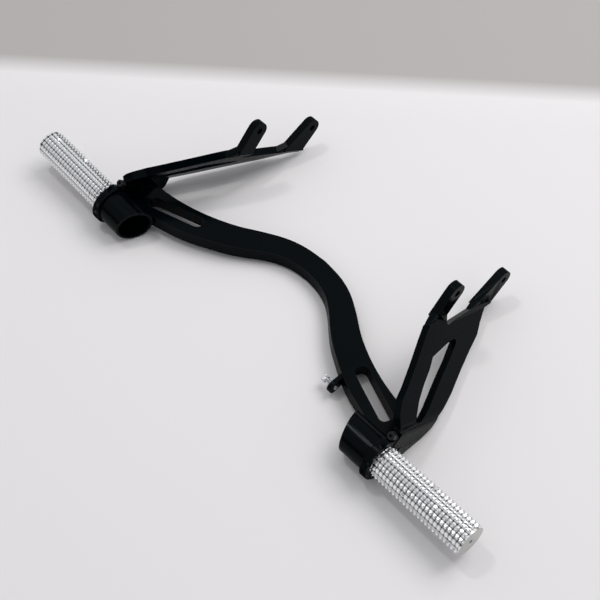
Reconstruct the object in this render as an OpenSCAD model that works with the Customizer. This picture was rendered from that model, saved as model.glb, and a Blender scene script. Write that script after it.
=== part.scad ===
// Motorbike footrest bracket with two toothed pegs held in split clamps.
// +X is the rider's right, +Y points forward, +Z is up; the floor under the resting bracket is Z = 0.

/* [Hubs] */
// Distance from the middle plane to the outer face of each clamp band
hub_reach = 187.4; // [170:0.1:210]
// Upward lean of each peg axis, in degrees
hub_lean = 2.7; // [0:0.1:6]
// Diameter of the bore that takes the peg
bore_d = 30.3; // [24:0.1:34]
// Wall of the socket tube round the bore
socket_wall = 2.1; // [1.6:0.1:4]
// Length of the socket along its axis, from the outer face to the slanted mouth
socket_len = 39.6; // [34:0.1:60]
// Sideways slant of the socket's inner mouth, in degrees
mouth_slant = 18.7; // [0:0.1:30]
// Wall of the clamp band round the bore
band_wall = 5.05; // [3:0.05:8]
// Bevel on the rims of the clamp band
band_bevel = 0.6; // [0.2:0.1:1.2]

/* [Clamps] */
// Direction of the saw cut in the clamp band, up from straight ahead, in degrees
slit_angle = 43; // [30:1:60]
// Width of the saw cut
slit_w = 1.6; // [0.8:0.1:3]
// Width of the relief cut that frees the band from the socket
relief_w = 1.2; // [0.8:0.1:2]
// Sweep of the relief cut from the saw cut over the top, in degrees
relief_sweep = 95; // [60:5:130]
// Length of each clamp lug across the saw cut
lug_len = 2.2; // [1.8:0.1:5]
// Height of the pinch screw's axis above the clamp band
lug_rise = 3.0; // [2.6:0.1:6]
// Diameter of the pinch screw's thread
pinch_d = 4; // [3:0.5:5]
// Length of the pinch screw under its head
pinch_len = 11; // [10:1:16]
// Gap round the pinch screw and in its washer
pinch_play = 0.05; // [0.02:0.01:0.3]
// Diameter of the pinch screw's head
pinch_head_d = 7; // [5.5:0.1:8]
// Height of the pinch screw's head
pinch_head_h = 4; // [3:0.1:5]
// Thickness of the washer under the pinch screw's head
washer_t = 0.8; // [0.5:0.1:1.2]
// Diameter of the washer
washer_d = 7.4; // [6:0.1:8]
// Size across flats of the socket in the pinch screw's head
pinch_hex = 3; // [2:0.5:4]

/* [Pegs] */
// Full length of a peg
peg_len = 125; // [100:1:150]
// Length of the right peg inside the clamp and its socket
grip_in = 28.2; // [24:0.1:36]
// How much further the left peg is drawn out
left_drawn = 0; // [0:0.5:20]
// Gap all round between peg and bore
peg_play = 0.05; // [0.02:0.01:0.1]
// Length of the smooth shank at the peg's inner end
shank_len = 12; // [8:1:20]
// Spacing of the teeth along the peg
tooth_pitch = 4; // [3:0.1:6]
// Number of tooth rows round the peg
tooth_rows = 16; // [12:1:24]
// Depth of the ring grooves between the teeth
ring_depth = 2; // [1:0.1:3]
// Depth of the lengthwise grooves between the rows
row_depth = 2.2; // [1:0.1:3]
// Diameter of the plain disc at the peg's outer end
end_disc_d = 28; // [24:0.1:30]
// Thickness of that disc
end_disc_t = 1.6; // [0.5:0.1:4]
// Diameter of the turning centre in the peg's end
centre_d = 3.2; // [2:0.1:6]
// Depth of the turning centre
centre_depth = 5; // [2:0.1:10]

/* [Bow] */
// Thickness of the bow plate
bow_t = 12.4; // [8:0.1:16]
// Height of the bow's upper face above the peg axis, at the hubs
bow_rise = 1.5; // [0:0.1:4]
// Forward fall of the bow plate, in degrees
bow_fall = 4.9; // [0:0.1:8]
// Forward reach of the bow's front edge at the middle
bow_reach = 110.8; // [100:0.1:125]
// Width of the bow at the middle
bow_w = 22.2; // [16:0.1:30]
// Length of the lightening slot beside each hub
slot_len = 59; // [40:1:62]
// Width of that slot
slot_w = 13.6; // [8:0.1:14]
// Swing of the slot's axis from straight across, in degrees
slot_swing = 19.9; // [10:0.1:30]
// Place of the slot's middle out from the middle plane, for a hub reach of 187.4
slot_x = 135.6; // [128:0.1:142]
// Forward place of the slot's middle
slot_y = 40.7; // [36:0.1:46]

/* [Arms] */
// Thickness of the clamp band, the root plate and the two legs
arm_t = 7.4; // [6:0.1:10]
// Forward dip of the two bend lines, in degrees
bend_dip = 30.9; // [20:0.1:40]
// Inward lean of the legs from the upright plane, in degrees
leg_lean = 42.3; // [35:0.1:48]
// Height of the lower bend line over the peg axis, square to it
lower_bend = 29.9; // [26:0.1:34]
// Outer radius of the lower bend
bend_r = 18; // [8:1:26]
// Outer face of the ears, from the middle plane
ear_reach = 132.7; // [125:0.1:140]
// Thickness of the ears
ear_t = 8; // [6:0.1:10]
// Radius of the ears' round ends
ear_r = 8.9; // [7:0.1:12]
// Diameter of the bolt holes in the ears
ear_hole_d = 6.5; // [5:0.1:8.5]
// Forward place of the upper ear's hole from the peg axis
upper_hole_y = 138.5; // [132:0.1:145]
// Height of the upper ear's hole over the peg axis
upper_hole_z = 49.7; // [45:0.1:56]
// Forward place of the lower ear's hole from the peg axis
lower_hole_y = 207.4; // [200:0.1:214]
// Height of the lower ear's hole over the peg axis
lower_hole_z = 9.1; // [4:0.1:14]

/* [Stop screw] */
// Distance from the clamp band's outer face in to the tab's outer face
tab_inset = 81.4; // [75:0.1:88]
// Thickness of the tab
tab_t = 4; // [3:0.1:6]
// Radius of the tab's round end
tab_r = 6.6; // [5:0.1:8]
// Forward place of the stop screw's axis
stop_y = 24; // [20:0.1:28]
// Height of the stop screw's axis under the peg axis
stop_drop = 10.5; // [6:0.1:13]
// Diameter of the stop screw
stop_d = 4; // [3:0.5:6]
// Gap round the stop screw's thread
stop_play = 0.05; // [0.02:0.01:0.1]
// Length of the stop screw under its head
stop_len = 12; // [8:0.5:20]
// Diameter of the stop screw's head
stop_head_d = 7; // [5.5:0.1:9]
// Height of the stop screw's head
stop_head_h = 4; // [3:0.1:6]
// Bare thread between the head and the tab
stop_bare = 6.5; // [4:0.1:9]
// Size across flats of the socket in its head
stop_hex = 3; // [2:0.5:4]

/* [Hidden] */
$fn = 64;
eps = 0.01;
big = 400;

bore_r = bore_d / 2;
socket_r = bore_r + socket_wall;
band_r = bore_r + band_wall;
peg_r = bore_r - peg_play;
right_out = peg_len - grip_in;
tab_reach = hub_reach - tab_inset;

black = [0.09, 0.10, 0.11];
silver = [0.86, 0.87, 0.88];
steel = [0.62, 0.63, 0.65];

// Height of the peg axis at the hub's outer face over the floor that the clamp bands touch
floor_drop = band_r * cos(hub_lean) + (arm_t - band_bevel) * sin(hub_lean);
right_end = hub_reach + right_out * cos(hub_lean) + end_disc_d / 2 * sin(hub_lean);
left_end = right_end + left_drawn * cos(hub_lean);
front_end = lower_hole_y + ear_r;
rear_end = -band_r;
origin_shift = [(left_end - right_end) / 2, -(front_end + rear_end) / 2, floor_drop];

function unit(v) = v / norm(v);
function turn(a) = a > 180 ? a - 360 : a < -180 ? a + 360 : a;

// Replaces the corner at b by an arc of radius r that touches both sides
function corner(a, b, c, r, n = 6) =
    let (u = unit(a - b), v = unit(c - b), half = acos(u * v) / 2, reach = r / tan(half),
        m = b + unit(u + v) * r / sin(half), p = b + u * reach - m, q = b + v * reach - m,
        start = atan2(p.y, p.x), sweep = turn(atan2(q.y, q.x) - start))
    [for (i = [0:n]) m + r * [cos(start + sweep * i / n), sin(start + sweep * i / n)]];

// Polygon from corners given as [x, y, radius]; radius 0 keeps the corner sharp
function rounded(p) = let (n = len(p)) [for (i = [0:n - 1])
    let (a = p[(i + n - 1) % n], b = p[i], c = p[(i + 1) % n])
    each b[2] > 0 ? corner([a.x, a.y], [b.x, b.y], [c.x, c.y], b[2]) : [[b.x, b.y]]];

// Smooth curve through hand-set stations, with n steps between two stations
function blend(a, b, c, d, t) = 0.5 * ((2 * b) + (c - a) * t + (2 * a - 5 * b + 4 * c - d) * t * t
    + (3 * b - a - 3 * c + d) * t * t * t);
function smooth(p, n = 4) = let (last = len(p) - 1) concat([for (i = [0:last - 1], k = [0:n - 1])
    blend(p[max(i - 1, 0)], p[i], p[i + 1], p[min(i + 2, last)], k / n)], [p[last]]);
function mirrored(p) = [for (i = [len(p) - 1:-1:0]) [-p[i].x, p[i].y]];

module place() translate(origin_shift) children();
module hub_frame() translate([hub_reach, 0, 0]) rotate([0, -hub_lean, 0]) children();
module along_x() rotate([0, 90, 0]) children();
module both_sides() {
    children();
    mirror([1, 0, 0]) children();
}

// Plate of thickness t with its outer face on x = 0, drawn as [y, z]
module slab(t) translate([-t, 0, 0]) rotate([90, 0, 90]) linear_extrude(t) children();

// Frame of a bent arm: y runs along the bend lines, z climbs square to them
module arm_frame() rotate([-bend_dip, 0, 0]) children();
module leg_frame() arm_frame() translate([hub_reach, 0, lower_bend]) rotate([0, -leg_lean, 0]) children();
function arm_y(y, z) = y * cos(bend_dip) - z * sin(bend_dip);
function arm_z(y, z) = y * sin(bend_dip) + z * cos(bend_dip);
function hub_y(s, g) = s * cos(bend_dip) + g * sin(bend_dip);
function hub_z(s, g) = g * cos(bend_dip) - s * sin(bend_dip);

// Frame of a clamp: x along the bore, y out along the saw cut, z across it towards the screw's head
module clamp_frame() hub_frame() rotate([slit_angle, 0, 0]) children();

leg_rise = (hub_reach - ear_reach) / sin(leg_lean);
upper_bend = lower_bend + leg_rise * cos(leg_lean);
ear_foot = upper_bend + (ear_t - arm_t / cos(leg_lean)) / tan(leg_lean);
upper_hole = [arm_y(upper_hole_y, upper_hole_z), arm_z(upper_hole_y, upper_hole_z)];
lower_hole = [arm_y(lower_hole_y, lower_hole_z), arm_z(lower_hole_y, lower_hole_z)];
pinch_radius = band_r + lug_rise;
pinch_depth = pinch_len + 2.5;
slit_top = pinch_radius + arm_t / 2 + 1.5;

// Stations are drawn for a reach of 187.4; these follow the reach, the bow and the ears
function across(x) = x * hub_reach / 187.4;
function fade(x) = 1 - x / 187.4;
function front_edge() = smooth([for (p = [[0, 0], [24, 2.7], [44, 9.4], [64, 21.2], [84, 34.7], [104, 44.9],
    [124, 52.5], [144, 57.9], [164, 61.2], [181, 61.8]])
    [across(p.x), 110.8 - p.y + (bow_reach - 110.8) * fade(p.x)]]);
function rear_edge() = smooth([for (p = [[0, 0], [16, 1.7], [32, 7.3], [46, 16.6], [58, 26.6], [72, 37.3],
    [88, 46.8], [104, 55.4], [120, 62], [134, 66.2], [146, 69.6]])
    [across(p.x), 88.6 - p.y + (bow_reach - 110.8 - bow_w + 22.2) * fade(p.x)]]);

// Leg corners as [place, climb, radius]; the ears carry the upper corners with them
function upper_edge(p) = [for (q = p)
    [q.x + (upper_hole.x - 93.3) * q.y / 81.3, q.y * leg_rise / 81.3, q[2]]];
function lower_edge(p) = [for (q = p)
    [q.x + (lower_hole.x - 173.3) * q.y / 81.3, q.y * leg_rise / 81.3, q[2]]];

module bow_half() {
    rear = rear_edge();
    difference() {
        polygon(concat([[-eps, bow_reach]], front_edge(), [[across(184), 49], [across(184), 10],
            [across(150), 10]], [for (i = [len(rear) - 1:-1:0]) rear[i]], [[-eps, bow_reach - bow_w]]));
        slot_hole();
    }
}

module slot_hole() {
    half = slot_len / 2;
    side = slot_w / 2;
    round_r = min(5, side - 0.5);
    translate([across(slot_x), slot_y]) rotate(-slot_swing)
        polygon(rounded([[-half, -side, round_r], [half, -side, round_r], [half, side, round_r],
            [-half, side, round_r]]));
}

// Level bow that joins the two hubs, falling a little towards its front edge
module bow() {
    rotate([-bow_fall, 0, 0]) translate([0, 0, bow_rise - bow_t]) linear_extrude(bow_t) {
        bow_half();
        mirror([1, 0]) bow_half();
    }
}

module clamp_band() {
    hub_frame() along_x() rotate_extrude()
        polygon([[0, -arm_t], [band_r - band_bevel, -arm_t], [band_r, band_bevel - arm_t],
            [band_r, -band_bevel], [band_r - band_bevel, 0], [0, 0]]);
}

// Tube with a mouth that is cut slanting, longer at its forward side
module socket_tube() {
    hub_frame() difference() {
        translate([-60, 0, 0]) along_x() cylinder(r = socket_r, h = 60 - band_bevel);
        translate([-socket_len, 0, 0]) rotate([0, 0, mouth_slant])
            translate([-60, -60, -60]) cube([60, 120, 120]);
    }
}

// Lug for the screw's head and the shoulder that leads from the band's top to it
module pinch_lug() {
    foot = pinch_radius - washer_d / 2 - 0.4;
    top = band_r + 0.2;
    clamp_frame() slab(arm_t) polygon([[bore_r - 3, 0], [foot, 0], [foot, top * cos(slit_angle) - 4.5],
        [top * sin(slit_angle), top * cos(slit_angle)], [11, 13.4]]);
    clamp_frame() translate([-arm_t / 2, 0, 0]) {
        translate([0, pinch_radius, 0]) cylinder(d = arm_t, h = slit_w / 2 + lug_len);
        translate([-arm_t / 2, bore_r + 1.2, 0])
            cube([arm_t, pinch_radius - bore_r - 1.2, slit_w / 2 + lug_len]);
    }
}

// Place in the clamp's plane: out along the saw cut, off to the side of the screw's head
function clamp_point(out, off) = [out * cos(slit_angle) - off * sin(slit_angle),
    out * sin(slit_angle) + off * cos(slit_angle)];

// Upright plate between the band, the bow's end and the foot of the leg
module root_plate() {
    low = -floor_drop + 0.6;
    translate([hub_reach, 0, 0]) slab(arm_t)
        polygon(concat([[hub_y(4.3, lower_bend), hub_z(4.3, lower_bend)], clamp_point(slit_top + 0.6, 3),
            clamp_point(slit_top, 0), clamp_point(bore_r - 3, 0), [3, -bore_r - 1.5]],
            rounded([[24, low, 0], [48, low, 6], [60, low + 3.4, 5],
            [hub_y(62, lower_bend), hub_z(62, lower_bend), 0]])));
}

module leg_sheet() {
    over = leg_rise + 4;
    ear_1 = upper_hole.x - 13.1;
    ear_2 = lower_hole.x - 25.5;
    polygon(rounded(concat(
        upper_edge([[4.3, 0, 0], [6.1, 12.7, 12], [13.3, 25.3, 14], [24.7, 34.4, 14], [40.8, 49.4, 0],
            [57.8, 66.5, 0], [69.4, 77.4, 3.5], [78.9, 78.9, 2.5]]),
        [[ear_1 + 0.5, over, 0], [ear_1 + 18.3, over, 0]],
        upper_edge([[94.2, 71.8, 2.2], [108.4, 75.3, 0]]),
        lower_edge([[144.6, 80.9, 4]]),
        [[ear_2 + 2.2, over, 0], [ear_2 + 28, over, 0]],
        lower_edge([[172.6, 79.6, 3], [160.3, 77.6, 3.5], [149, 66, 0], [141, 56, 12], [123.7, 44.3, 0],
            [106.3, 31.6, 0], [84.6, 14.3, 0], [62, 0, 0]]))));
}

module leg_window() {
    polygon(rounded(concat(
        upper_edge([[25.6, 2.2, 2.5], [35.2, 18.6, 10], [46.1, 30.5, 0], [58.5, 41.5, 10], [65.6, 50.4, 5]]),
        lower_edge([[95.4, 58.6, 14], [109.6, 59.6, 2.5], [90.8, 43.2, 0], [72.6, 29.7, 0], [48.6, 10.3, 0],
            [34.4, 1, 2.5]]))));
}

// Leaning part of the arm, two legs and a web round a window
module legs() {
    intersection() {
        leg_frame() slab(arm_t) difference() {
            leg_sheet();
            leg_window();
        }
        translate([ear_reach - ear_t, -big / 2, -big / 2]) cube([big, big, big]);
    }
}

// Straight flanks that run from the two corners at the foot onto the round end
module ear(hole, rear, front) {
    a = hole - rear;
    b = hole - front;
    lean_a = atan2(a.y, a.x) + asin(ear_r / norm(a));
    lean_b = atan2(b.y, b.x) - asin(ear_r / norm(b));
    slab(ear_t) polygon([rear, hole + ear_r * [-sin(lean_a), cos(lean_a)],
        hole + ear_r * [sin(lean_b), -cos(lean_b)], front]);
    translate([-ear_t, hole.x, hole.y]) along_x() cylinder(r = ear_r, h = ear_t);
}

module ears() {
    arm_frame() translate([ear_reach, 0, 0]) {
        ear(upper_hole, [upper_hole.x - 14.2, ear_foot], [upper_hole.x + 3.6, ear_foot]);
        ear(lower_hole, [lower_hole.x - 27, ear_foot], [lower_hole.x + 0.4, ear_foot]);
    }
}

module ear_holes() {
    arm_frame() for (p = [upper_hole, lower_hole])
        translate([ear_reach - ear_t - 1, p.x, p.y]) along_x() cylinder(d = ear_hole_d, h = ear_t + 2);
}

// Saw cut, relief cut, screw hole and flat seat for the screw's washer in one clamp
module clamp_cuts() {
    clamp_frame() {
        translate([-arm_t - relief_w, bore_r - 2, -slit_w / 2])
            cube([arm_t + relief_w + 2, slit_top - bore_r + 2, slit_w]);
        translate([-arm_t / 2, pinch_radius, slit_w / 2 + lug_len + 1 - pinch_depth])
            cylinder(r = pinch_d / 2 + pinch_play, h = pinch_depth);
        translate([-arm_t / 2, pinch_radius, slit_w / 2 + lug_len]) cylinder(d = washer_d + 0.6, h = 12);
    }
    hub_frame() translate([-arm_t - relief_w, 0, 0]) along_x() rotate([0, 0, slit_angle + 90])
        rotate_extrude(angle = relief_sweep) translate([bore_r - 2, 0]) square([socket_wall + 4, relief_w]);
}

// Wedge outside the round of the lower bend
module bend_trim() {
    reach = bend_r * tan(leg_lean / 2);
    arm_frame() difference() {
        translate([hub_reach, 0, lower_bend]) rotate([90, 0, 0]) translate([0, 0, -upper_hole.x])
            linear_extrude(upper_hole.x - 3)
            polygon([[0.5, -reach], [0, -reach], [-reach * sin(leg_lean), reach * cos(leg_lean)],
                [0.5 - reach * sin(leg_lean), reach * cos(leg_lean) + 0.5], [1, 0]]);
        translate([hub_reach - bend_r, -big / 2, lower_bend - reach]) rotate([-90, 0, 0])
            cylinder(r = bend_r, h = big, $fn = 128);
    }
}

module tab() {
    end = [stop_y, -stop_drop];
    translate([tab_reach, 0, 0]) slab(tab_t) {
        translate(end) circle(r = tab_r);
        polygon([end + [0, tab_r], [38, 38 * sin(-bow_fall) + bow_rise - 1.2],
            [38, 38 * sin(-bow_fall) + bow_rise - bow_t + 0.6], end - [0, tab_r]]);
    }
}

module bracket_frame() {
    color(black) place() difference() {
        union() {
            bow();
            tab();
            both_sides() {
                clamp_band();
                socket_tube();
                pinch_lug();
                root_plate();
                legs();
                ears();
            }
        }
        both_sides() {
            hub_frame() translate([-60, 0, 0]) along_x() cylinder(d = bore_d, h = 70);
            clamp_cuts();
            ear_holes();
            bend_trim();
        }
        translate([tab_reach - tab_t - 1, stop_y, -stop_drop]) along_x()
            cylinder(r = stop_d / 2 + stop_play, h = tab_t + 2);
    }
}

// Toothed peg, drawn along +X from its inner end. Ring grooves and lengthwise grooves cross and
// leave a pyramid wherever two ridges meet; the surface is one closed net of rings
module peg() {
    span = peg_len - shank_len - end_disc_t;
    count = round(span / tooth_pitch);
    step = span / count / 2;
    spokes = 2 * tooth_rows;
    rings = 2 * count + 3;
    deep = max(ring_depth, row_depth);
    function radius(i, j) = i == 0 || i == rings - 1 ? peg_r - deep - 0.4
        : peg_r - max(i % 2 == 1 ? ring_depth : 0, j % 2 == 1 ? row_depth : 0);
    function height(i) = i == 0 ? shank_len - 1 : i == rings - 1 ? peg_len - end_disc_t + 0.6
        : shank_len + (i - 1) * step;
    points = [for (i = [0:rings - 1], j = [0:spokes - 1])
        [height(i), radius(i, j) * cos(360 * j / spokes), radius(i, j) * sin(360 * j / spokes)]];
    sides = [for (i = [0:rings - 2], j = [0:spokes - 1])
        let (a = i * spokes + j, b = i * spokes + (j + 1) % spokes, c = a + spokes, d = b + spokes)
        each (i + j) % 2 == 0 ? [[a, d, b], [a, c, d]] : [[a, c, b], [b, c, d]]];
    ends = [[for (j = [0:spokes - 1]) j], [for (j = [spokes - 1:-1:0]) (rings - 1) * spokes + j]];
    difference() {
        union() {
            along_x() cylinder(r = peg_r, h = shank_len);
            polyhedron(points, concat(sides, ends));
            translate([peg_len - end_disc_t, 0, 0]) along_x() cylinder(d = end_disc_d, h = end_disc_t);
        }
        translate([peg_len - centre_depth, 0, 0]) along_x() cylinder(d = centre_d, h = centre_depth + 1);
    }
}

module right_peg() {
    color(silver) place() hub_frame() translate([right_out - peg_len, 0, 0]) peg();
}

module left_peg() {
    color(silver) place() mirror([1, 0, 0]) hub_frame()
        translate([right_out + left_drawn - peg_len, 0, 0]) peg();
}

// Socket-head screw with its head's underside on z = 0 and its thread running down
module cap_screw(d, len, head_d, head_h, hex) {
    difference() {
        union() {
            translate([0, 0, -len]) cylinder(d = d, h = len + 0.5);
            cylinder(d = head_d, h = head_h);
        }
        translate([0, 0, head_h * 0.4]) cylinder(d = hex / cos(30), h = head_h, $fn = 6);
    }
}

module pinch_place() clamp_frame() translate([-arm_t / 2, pinch_radius, slit_w / 2 + lug_len]) children();

module pinch_screw() {
    pinch_place() translate([0, 0, washer_t])
        cap_screw(pinch_d, pinch_len, pinch_head_d, pinch_head_h, pinch_hex);
}

module pinch_washer() {
    pinch_place() difference() {
        cylinder(d = washer_d, h = washer_t);
        translate([0, 0, -1]) cylinder(r = pinch_d / 2 + pinch_play, h = washer_t + 2);
    }
}

module right_pinch_screw() {
    color(steel) place() pinch_screw();
}

module left_pinch_screw() {
    color(steel) place() mirror([1, 0, 0]) pinch_screw();
}

module right_pinch_washer() {
    color(steel) place() pinch_washer();
}

module left_pinch_washer() {
    color(steel) place() mirror([1, 0, 0]) pinch_washer();
}

module stop_screw() {
    color(steel) place() translate([tab_reach - tab_t - stop_bare, stop_y, -stop_drop])
        rotate([0, -90, 0]) cap_screw(stop_d, stop_len, stop_head_d, stop_head_h, stop_hex);
}

bracket_frame();
right_peg();
left_peg();
right_pinch_screw();
left_pinch_screw();
right_pinch_washer();
left_pinch_washer();
stop_screw();
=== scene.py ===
import math

import bmesh
import bpy
from mathutils import Matrix, Vector


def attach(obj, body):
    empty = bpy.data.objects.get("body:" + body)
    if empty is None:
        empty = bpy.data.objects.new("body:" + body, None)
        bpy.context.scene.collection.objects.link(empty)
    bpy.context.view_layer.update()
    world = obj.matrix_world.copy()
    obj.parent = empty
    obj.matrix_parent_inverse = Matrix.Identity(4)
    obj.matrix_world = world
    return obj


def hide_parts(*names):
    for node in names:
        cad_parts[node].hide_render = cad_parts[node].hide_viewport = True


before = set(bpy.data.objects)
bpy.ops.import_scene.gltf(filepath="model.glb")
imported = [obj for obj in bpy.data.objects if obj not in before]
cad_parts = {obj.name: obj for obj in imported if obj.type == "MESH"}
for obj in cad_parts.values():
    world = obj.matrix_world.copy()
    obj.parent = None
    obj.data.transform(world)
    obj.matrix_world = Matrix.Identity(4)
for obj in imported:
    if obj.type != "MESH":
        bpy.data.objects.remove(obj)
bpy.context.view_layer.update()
bpy.ops.object.select_all(action="DESELECT")

# Camera
# The photograph's view: a long lens high beyond the right peg, looking down on the bow. Its place
# was fitted to the straight pegs, the round clamp bands and the level bow.
SENSOR_WIDTH = 36
PICTURE_WIDTH = 600
FOCAL_PIXELS = 1092.73
camera = bpy.data.objects.new("camera", bpy.data.cameras.new("camera"))
camera.data.sensor_width = SENSOR_WIDTH
camera.data.lens = SENSOR_WIDTH * FOCAL_PIXELS / PICTURE_WIDTH
camera.data.clip_start = 0.05
camera.matrix_world = Matrix((
    (0.6699, -0.6039, 0.4319, 0.44790),
    (0.7424, 0.5349, -0.4034, -0.43732),
    (0.0126, 0.5909, 0.8066, 0.81604),
    (0, 0, 0, 1),
))
bpy.context.scene.collection.objects.link(camera)
bpy.context.scene.camera = camera

# Bracket
# One cast and machined aluminium piece: bow, sockets, clamp bands, forked arms and the screw's tab.
# It is anodised satin black with a thin sheen. The dye is cloudy, and the edges are rubbed to grey,
# partly as a painted highlight.
BRACKET_EDGE = 0.0005
BRACKET_CORNER = math.radians(32)
# Points closer than this are joined, and so are faces that turn by less than this.
SAME_POINT = 2e-6
SAME_FACE = math.radians(0.4)
# Clouds, rubbed and painted-highlight edge patches, and grains to the metre, and how dark and how
# light the clouds are.
CLOUDS, RUB_AND_HIGHLIGHT_PATCHES, GRAINS = 38, 260, 1400
DARK_CLOUD, LIGHT_CLOUD = 0.75, 1.3
GRAIN_DEPTH = 0.0002
# How well rounded and flat face still agree where a rub and its painted highlight start, and where
# they are full.
RUB_AND_HIGHLIGHT_STARTS, RUB_AND_HIGHLIGHT_FULL = 0.985, 0.80
SMOOTHER, ROUGHER = 0.06, 0.1


def merged_copy(node, name):
    """A copy of a CAD node with its flat triangles joined, ready for rounded edges."""
    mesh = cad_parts[node].data.copy()
    mesh.name = name
    shape = bmesh.new()
    shape.from_mesh(mesh)
    bmesh.ops.remove_doubles(shape, verts=shape.verts, dist=SAME_POINT)
    bmesh.ops.dissolve_limit(shape, angle_limit=SAME_FACE, verts=shape.verts, edges=shape.edges)
    shape.to_mesh(mesh)
    shape.free()
    mesh.materials.clear()
    piece = bpy.data.objects.new(name, mesh)
    bpy.context.scene.collection.objects.link(piece)
    return piece


def round_edges(piece, width, angle):
    """Small rounded edges, and smooth curved faces between them."""
    bevel = piece.modifiers.new("edges", "BEVEL")
    bevel.width = width
    bevel.segments = 2
    bevel.limit_method = "ANGLE"
    bevel.angle_limit = angle
    bevel.harden_normals = True
    piece.data.polygons.foreach_set("use_smooth", [True] * len(piece.data.polygons))
    piece.data.set_sharp_from_angle(angle=angle)


def feed(tree, node, inputs):
    """Set a node's inputs to plain values, or join them to other nodes' outputs."""
    for socket, value in inputs.items():
        if isinstance(value, bpy.types.NodeSocket):
            tree.links.new(value, node.inputs[socket])
        else:
            node.inputs[socket].default_value = value


def add_node(tree, kind, inputs, operation=None):
    """A new node of a kind, such as TexNoise, with its inputs fed."""
    node = tree.nodes.new("ShaderNode" + kind)
    if operation:
        node.operation = operation
    feed(tree, node, inputs)
    return node


def reckon(tree, operation, *values):
    """The result of a sum on numbers or on other nodes' outputs."""
    return add_node(tree, "Math", dict(enumerate(values)), operation).outputs["Value"]


def dot(tree, one, other):
    """How well two normals agree, or how far a place lies along a direction."""
    return add_node(tree, "VectorMath", {0: one, 1: other}, "DOT_PRODUCT").outputs["Value"]


def rescale(tree, value, start, end, low=0, high=1):
    """A value carried from one range, start to end, to another, low to high, and held inside it."""
    return add_node(tree, "MapRange", {
        "Value": value, "From Min": start, "From Max": end, "To Min": low, "To Max": high,
    }).outputs["Result"]


def speckle(tree, place, scale, detail):
    """A noise pattern, with its scale in cells to the metre."""
    return add_node(
        tree, "TexNoise", {"Vector": place, "Scale": scale, "Detail": detail}).outputs["Fac"]


def relief(tree, height, strength, depth):
    """The surface raised and sunk by a pattern."""
    return add_node(
        tree, "Bump", {"Height": height, "Strength": strength, "Distance": depth}).outputs["Normal"]


def graded(tree, value, stops):
    """Colours blended along a value, between stops that each give a value and its colour."""
    ramp = add_node(tree, "ValToRGB", {"Fac": value})
    elements = ramp.color_ramp.elements
    elements[0].position = stops[0][0]
    elements[1].position = stops[-1][0]
    for position, _ in stops[1:-1]:
        elements.new(position)
    for element, (_, color) in zip(elements, stops):
        element.color = (*color, 1)
    return ramp.outputs["Color"]


def lay_over(tree, under, over, where):
    """One colour laid over another as far as a mask lets it show."""
    mix = tree.nodes.new("ShaderNodeMix")
    mix.data_type = "RGBA"
    feed(tree, mix, {"Factor": where, 6: under, 7: (*over, 1)})
    return mix.outputs[2]


def worn_and_highlit_metal(name, face, edge, metallic, rough, grain, edge_width):
    """Finish with a fine grain and cloudy colour, rubbed brighter along the edges, which is partly
    a painted highlight.
    """
    mat = bpy.data.materials.new(name)
    mat.use_nodes = True
    tree = mat.node_tree
    place = tree.nodes.new("ShaderNodeTexCoord").outputs["Object"]

    tone = graded(tree, speckle(tree, place, CLOUDS, 4), (
        (0.3, [DARK_CLOUD * c for c in face]),
        (0.7, [LIGHT_CLOUD * c for c in face]),
    ))
    rounded = add_node(tree, "Bevel", {"Radius": edge_width})
    rounded.samples = 4
    flat = tree.nodes.new("ShaderNodeNewGeometry").outputs["Normal"]
    agreement = dot(tree, rounded.outputs["Normal"], flat)
    patches = speckle(tree, place, RUB_AND_HIGHLIGHT_PATCHES, 3)
    # Painted highlight: the rubbed edges are lightened, partly to stand for the light they catch.
    rubbed_and_highlit = reckon(tree, "MULTIPLY", rescale(tree, agreement, RUB_AND_HIGHLIGHT_STARTS, RUB_AND_HIGHLIGHT_FULL), patches)
    feed(tree, tree.nodes["Principled BSDF"], {
        "Metallic": metallic,
        "Base Color": lay_over(tree, tone, edge, rubbed_and_highlit),
        "Roughness": rescale(tree, patches, 0, 1, rough - SMOOTHER, rough + ROUGHER),
        "Normal": relief(tree, speckle(tree, place, GRAINS, 2), grain, GRAIN_DEPTH),
    })
    return mat


anodised = worn_and_highlit_metal(
    "black_anodised", face=(0.0003, 0.0015, 0.0020), edge=(0.022, 0.027, 0.028), metallic=0.0,
    rough=0.24, grain=0.05, edge_width=0.0008)
# The dyed layer itself hardly mirrors, so its faces stay deep black under the thin sheen.
feed(anodised.node_tree, anodised.node_tree.nodes["Principled BSDF"], {
    "IOR": 1.075,
    "Specular Tint": (0.75, 0.97, 1.0, 1),
    "Coat Weight": 0.09,
    "Coat Roughness": 0.16,
})
bracket = merged_copy("bracket_frame", "bracket")
bracket.data.materials.append(anodised)
round_edges(bracket, BRACKET_EDGE, BRACKET_CORNER)
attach(bracket, "bracket")
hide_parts("bracket_frame")

# Ear roots
# Part of the same anodised aluminium: the swept metal that carries each leg's edge into its ear.
# Each is a small block, milled with the arm, that fills the notch between the two.
START_BLOCK = 0.01
ROOT_EDGE = 0.0012
ROOT_CORNER = math.radians(20)
UPPER_ROOT = (
    (0.1276, 0.0136, 0.0515), (0.1302, 0.0030, 0.0551),
    (0.1248, 0.0205, 0.0550), (0.1248, 0.0183, 0.0589),
    (0.1335, 0.0142, 0.0550), (0.1355, 0.0055, 0.0593),
    (0.1326, 0.0215, 0.0555), (0.1326, 0.0189, 0.0596),
)
LOWER_ROOT = (
    (0.1274, 0.0720, 0.0175), (0.1281, 0.0639, 0.0216),
    (0.1248, 0.0800, 0.0190), (0.1248, 0.0779, 0.0233),
    (0.1330, 0.0740, 0.0205), (0.1334, 0.0665, 0.0257),
    (0.1326, 0.0820, 0.0200), (0.1326, 0.0802, 0.0245),
)


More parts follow.
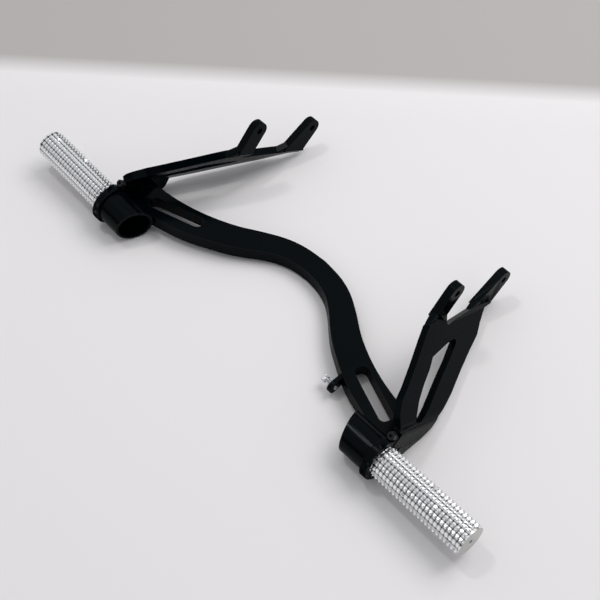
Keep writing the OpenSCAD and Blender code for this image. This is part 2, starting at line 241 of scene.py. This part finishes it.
def ear_root(name, mirror, corners):
    """A block whose corners are drawn to their places, then rounded. They come in the cube's order:
    inner side before outer, leg end before ear end, lower before upper."""
    bpy.ops.object.select_all(action="DESELECT")
    bpy.ops.mesh.primitive_cube_add(size=START_BLOCK, location=(0, 0, 0))
    piece = bpy.context.object
    piece.name = name
    bpy.ops.object.mode_set(mode="EDIT")
    bpy.ops.mesh.select_mode(type="VERT")
    for index, (x, y, z) in enumerate(corners):
        bpy.ops.mesh.select_all(action="DESELECT")
        shape = bmesh.from_edit_mesh(piece.data)
        shape.verts.ensure_lookup_table()
        shape.verts[index].select_set(True)
        shape.select_flush(True)
        start = shape.verts[index].co
        bpy.ops.transform.translate(value=(mirror * x - start.x, y - start.y, z - start.z))
    bpy.ops.mesh.select_all(action="SELECT")
    bpy.ops.mesh.normals_make_consistent(inside=False)
    bpy.ops.object.mode_set(mode="OBJECT")
    round_edges(piece, ROOT_EDGE, ROOT_CORNER)
    return piece


for side, mirror in (("right", 1), ("left", -1)):
    upper = ear_root(side + "_upper_root", mirror, UPPER_ROOT)
    lower = ear_root(side + "_lower_root", mirror, LOWER_ROOT)
    for piece in (upper, lower):
        piece.data.materials.append(anodised)
        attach(piece, "bracket")

# Pegs
# Bare aluminium bar, grooved round and along so that small pyramids stand up, then faced off with a
# turning centre in its end. The tips are bright; the grooves are darkened as painted shade, with
# dark painted shade dots where they cross.
HUB_X, HUB_Y, HUB_Z = 0.1874, -0.09805, 0.0205
LEAN = math.radians(2.7)
GRIP_RADIUS = 0.0151
GROOVE_DEPTH = 0.0022
ROWS = 16
RING_PITCH = 0.003979
# Outwards from the hub: the first ring groove, where the painted shade inside the socket ends, and
# the end face.
FIRST_RING = -0.0162
SOCKET_END = -0.016
END_FACE = 0.0968
FACE_SKIN = 0.0001
TURNING_PITCH = 0.0005
TURNING_DEPTH = 0.0001
PEG_GRAINS = 700
CORNER_SHADE = 0.0018
GROOVE_SHADE_GREY = (0.55, 0.555, 0.55)
FLANK_GREY = (0.86, 0.865, 0.865)
TIP_SILVER = (0.95, 0.955, 0.965)
END_GREY = (0.47, 0.475, 0.45)
SOCKET_SHADE_BLACK = (0.004, 0.004, 0.004)


def from_axis(tree, place):
    """How far a place lies from the X axis."""
    across = add_node(tree, "VectorMath", {0: place, 1: (0, 1, 1)}, "MULTIPLY").outputs["Vector"]
    return add_node(tree, "VectorMath", {0: across}, "LENGTH").outputs["Value"]


def dimmed(tree, color, share):
    """A colour with only a share of its light."""
    return add_node(tree, "VectorMath", {0: color, "Scale": share}, "SCALE").outputs["Vector"]


def grooved_aluminium(name, outward):
    """Metal that follows the teeth: bright tips, and grooves darkened by painted shade, darkest in
    a dot wherever two cross. The end face is plain and turned, and what lies inside the socket is
    painted black as shade."""
    mat = bpy.data.materials.new(name)
    mat.use_nodes = True
    tree = mat.node_tree
    place = tree.nodes.new("ShaderNodeTexCoord").outputs["Object"]
    on_peg = tree.nodes.new("ShaderNodeMapping")
    on_peg.vector_type = "TEXTURE"
    feed(tree, on_peg, {
        "Vector": place,
        "Location": (HUB_X * outward, HUB_Y, HUB_Z),
        "Rotation": (0, -LEAN * outward, 0),
    })
    split = add_node(tree, "SeparateXYZ", {"Vector": on_peg.outputs["Vector"]})
    radius = from_axis(tree, on_peg.outputs["Vector"])
    turn = reckon(tree, "ARCTAN2", split.outputs["Z"], split.outputs["Y"])
    away = reckon(tree, "MULTIPLY", split.outputs["X"], outward)

    # Painted shade: the grooves are darker the deeper and more closed in they are.
    height = rescale(tree, radius, GRIP_RADIUS - GROOVE_DEPTH, GRIP_RADIUS)
    shade = add_node(tree, "AmbientOcclusion", {"Distance": CORNER_SHADE})
    shade.samples = 6
    shaded_metal = graded(tree, reckon(tree, "MULTIPLY", height, shade.outputs["AO"]), (
        (0.0, GROOVE_SHADE_GREY), (0.2, FLANK_GREY), (0.5, TIP_SILVER)))

    # Waves that follow the teeth: row is lowest in its groove, and ring is highest in its groove.
    row = reckon(tree, "COSINE", reckon(tree, "MULTIPLY", turn, ROWS))
    ring = reckon(tree, "COSINE", reckon(
        tree, "MULTIPLY_ADD", away,
        2 * math.pi / RING_PITCH, -2 * math.pi * FIRST_RING / RING_PITCH))
    # Painted shade: the lengthwise grooves are darkened, most of all where a ring groove crosses
    # them.
    pit_shade = rescale(tree, ring, -0.1, 0.7, low=0.72, high=0.08)
    groove_shaded = dimmed(tree, shaded_metal, rescale(tree, row, -0.95, -0.5, low=pit_shade))

    # Painted shade: what lies inside the socket is black.
    on_face = reckon(tree, "GREATER_THAN", away, END_FACE - FACE_SKIN)
    inside = reckon(tree, "LESS_THAN", away, SOCKET_END)
    turned = reckon(tree, "SINE", reckon(tree, "MULTIPLY", radius, 2 * math.pi / TURNING_PITCH))
    feed(tree, tree.nodes["Principled BSDF"], {
        "Metallic": 1.0,
        "Base Color": lay_over(
            tree, lay_over(tree, groove_shaded, END_GREY, on_face), SOCKET_SHADE_BLACK, inside),
        "Roughness": rescale(tree, speckle(tree, place, PEG_GRAINS, 3), 0, 1, low=0.12, high=0.3),
        "Normal": relief(tree, turned, 0.12, TURNING_DEPTH),
    })
    return mat


for side, outward in (("right", 1), ("left", -1)):
    grip = merged_copy(side + "_peg", side + "_grip")
    grip.data.materials.append(grooved_aluminium(side + "_aluminium", outward))
    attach(grip, side + "_peg")
    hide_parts(side + "_peg")

# Pinch screws
# Socket-head screws with a washer each, which draw the clamps together. They are steel, forged and
# turned, with a black oxide finish that is worn grey at the edges, partly as a painted highlight.
SCREW_EDGE = 0.0003
SCREW_CORNER = math.radians(40)
oxide = worn_and_highlit_metal(
    "black_steel", face=(0.010, 0.010, 0.011), edge=(0.12, 0.12, 0.125), metallic=0.5,
    rough=0.36, grain=0.08, edge_width=0.0004)
for name in ("right_pinch_screw", "left_pinch_screw", "right_pinch_washer", "left_pinch_washer"):
    screw = merged_copy(name, name + "_body")
    screw.data.materials.append(oxide)
    round_edges(screw, SCREW_EDGE, SCREW_CORNER)
    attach(screw, "bracket")
    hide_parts(name)

# Stop screw
# Bright zinc plated socket-head screw that is turned in the tab on the bow. The thread and the
# knurl round its head are too fine for the solid, so they are drawn as relief.
STOP_AXIS = (0.1, -0.07405, 0.0100)
HEAD_FROM = 0.003
THREAD_PITCH = 0.0008
KNURLS = 36
RELIEF_DEPTH = 0.0002
# Its edges are lighter: rubbed, and partly a painted highlight.
zinc = worn_and_highlit_metal(
    "zinc_steel", face=(0.66, 0.67, 0.69), edge=(0.85, 0.85, 0.86), metallic=1.0,
    rough=0.24, grain=0.1, edge_width=0.0004)
tree = zinc.node_tree
place = tree.nodes.new("ShaderNodeTexCoord").outputs["Object"]
on_screw = add_node(tree, "VectorMath", {0: place, 1: STOP_AXIS}, "SUBTRACT").outputs["Vector"]
split = add_node(tree, "SeparateXYZ", {"Vector": on_screw})
turn = reckon(tree, "ARCTAN2", split.outputs["Y"], split.outputs["Z"])
thread = reckon(
    tree, "SINE", reckon(tree, "MULTIPLY", split.outputs["X"], 2 * math.pi / THREAD_PITCH))
knurl = reckon(tree, "SINE", reckon(tree, "MULTIPLY", turn, KNURLS))
on_head = reckon(tree, "GREATER_THAN", from_axis(tree, on_screw), HEAD_FROM)
cut = add_node(tree, "Mix", {"Factor": on_head, "A": thread, "B": knurl}).outputs["Result"]
feed(tree, tree.nodes["Bump"], {"Normal": relief(tree, cut, 0.6, RELIEF_DEPTH)})
stop = merged_copy("stop_screw", "stop_screw_body")
stop.data.materials.append(zinc)
round_edges(stop, SCREW_EDGE, SCREW_CORNER)
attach(stop, "stop_screw")
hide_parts("stop_screw")

# Floor
# A plain pale sheet, matt and all but white. Beyond a soft strip of painted light, where a cove
# would catch the lamp, it darkens to the grey at the top of the view.
FLOOR_SIZE = 8
FAR_WAY = (-0.698, 0.716, 0)
FAR_STARTS, FAR_ENDS = 0.1, 0.3
floor_mat = bpy.data.materials.new("pale_floor")
floor_mat.use_nodes = True
tree = floor_mat.node_tree
place = tree.nodes.new("ShaderNodeTexCoord").outputs["Object"]
far = rescale(tree, dot(tree, place, FAR_WAY), FAR_STARTS, FAR_ENDS)
feed(tree, tree.nodes["Principled BSDF"], {
    # The middle stop is a painted highlight along the sheet's far edge.
    "Base Color": graded(tree, far, (
        (0.55, (0.82, 0.80, 0.80)),
        (0.78, (0.84, 0.82, 0.82)),
        (0.92, (0.465, 0.446, 0.43)),
    )),
    "Roughness": 0.75,
    "Specular IOR Level": 0.2,
})
bpy.ops.mesh.primitive_plane_add(size=FLOOR_SIZE, location=(0, 0, 0))
floor = bpy.context.object
floor.name = "floor"
floor.data.materials.append(floor_mat)

# Light
# A broad soft lamp high beyond the ears, and a small one high on the left that draws the lines of
# light along the sockets. The sky is bright overhead, dim all round, with a dark card on the right.
SKY_STRENGTH = 0.69
DIM_BELOW, BRIGHT_ABOVE = 0.14, 0.36
CARD_WAY = (0.43, -0.40, 0.81)
CARD_INNER, CARD_OUTER = 0.97, 0.90
CARD_TONE = 0.06
world = bpy.context.scene.world or bpy.data.worlds.new("world")
bpy.context.scene.world = world
world.use_nodes = True
tree = world.node_tree
way = tree.nodes.new("ShaderNodeTexCoord").outputs["Generated"]
dome = graded(tree, add_node(tree, "SeparateXYZ", {"Vector": way}).outputs["Z"], (
    (DIM_BELOW, (0.05, 0.052, 0.054)),
    (BRIGHT_ABOVE, (0.96, 0.97, 1.0)),
))
clear = rescale(tree, dot(tree, way, CARD_WAY), CARD_INNER, CARD_OUTER, low=CARD_TONE)
feed(tree, tree.nodes["Background"], {
    "Color": dimmed(tree, dome, clear),
    "Strength": SKY_STRENGTH,
})
for name, place, size, power in (
        ("key", (0.25, 1.25, 1.9), 1.3, 22),
        ("side", (-0.8, -0.2, 1.95), 0.2, 4.5)):
    light = bpy.data.objects.new(name, bpy.data.lights.new(name, "AREA"))
    light.data.shape = "SQUARE"
    light.data.size = size
    light.data.energy = power
    light.location = place
    light.rotation_euler = Vector(place).to_track_quat("Z", "Y").to_euler()
    bpy.context.scene.collection.objects.link(light)

# Picture
# Plain colours, and nothing left selected.
bpy.context.scene.view_settings.view_transform = "Standard"
bpy.ops.object.select_all(action="DESELECT")
